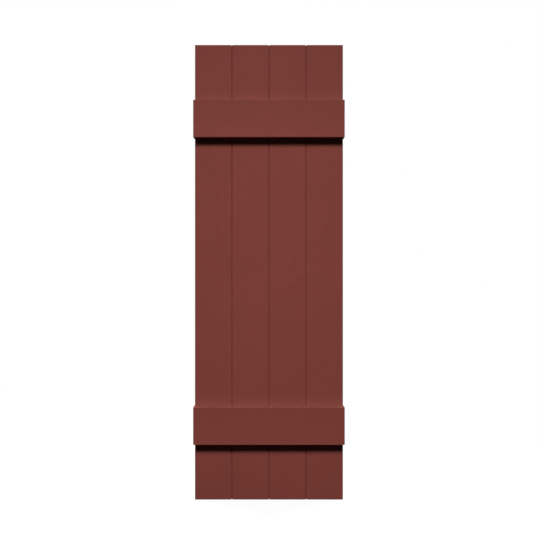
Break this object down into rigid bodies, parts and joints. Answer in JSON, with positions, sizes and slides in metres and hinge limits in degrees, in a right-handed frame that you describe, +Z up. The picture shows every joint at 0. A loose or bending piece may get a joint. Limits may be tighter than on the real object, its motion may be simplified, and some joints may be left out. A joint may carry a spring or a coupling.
{
  "type": "board and batten shutter",
  "caption": "Rectangular window shutter of upright boards, edge to edge with V-grooves, held by raised cross battens; open and ribbed at the back, it lies flat on a wall.",
  "frame": {"origin": "centre of the shutter's back, on the plane that lies against the wall", "axes": "+Z up along the boards, +Y back into the wall, +X to the right of someone who faces the front"},
  "size_m": [0.361, 0.0286, 1.0922],
  "materials": {
    "boards": "satin dark red plastic, coloured right through, with a fine moulded grain along the board",
    "battens": "satin dark red plastic, coloured right through, with a fine moulded grain along the batten",
    "screws": "zinc-plated steel pan-head screws, seen only from the back"
  },
  "bodies": {
    "root": {"left_outer_board": "boards", "left_inner_board": "boards", "right_inner_board": "boards", "right_outer_board": "boards", "upper_batten": "battens", "lower_batten": "battens"}
  },
  "joints": []
}
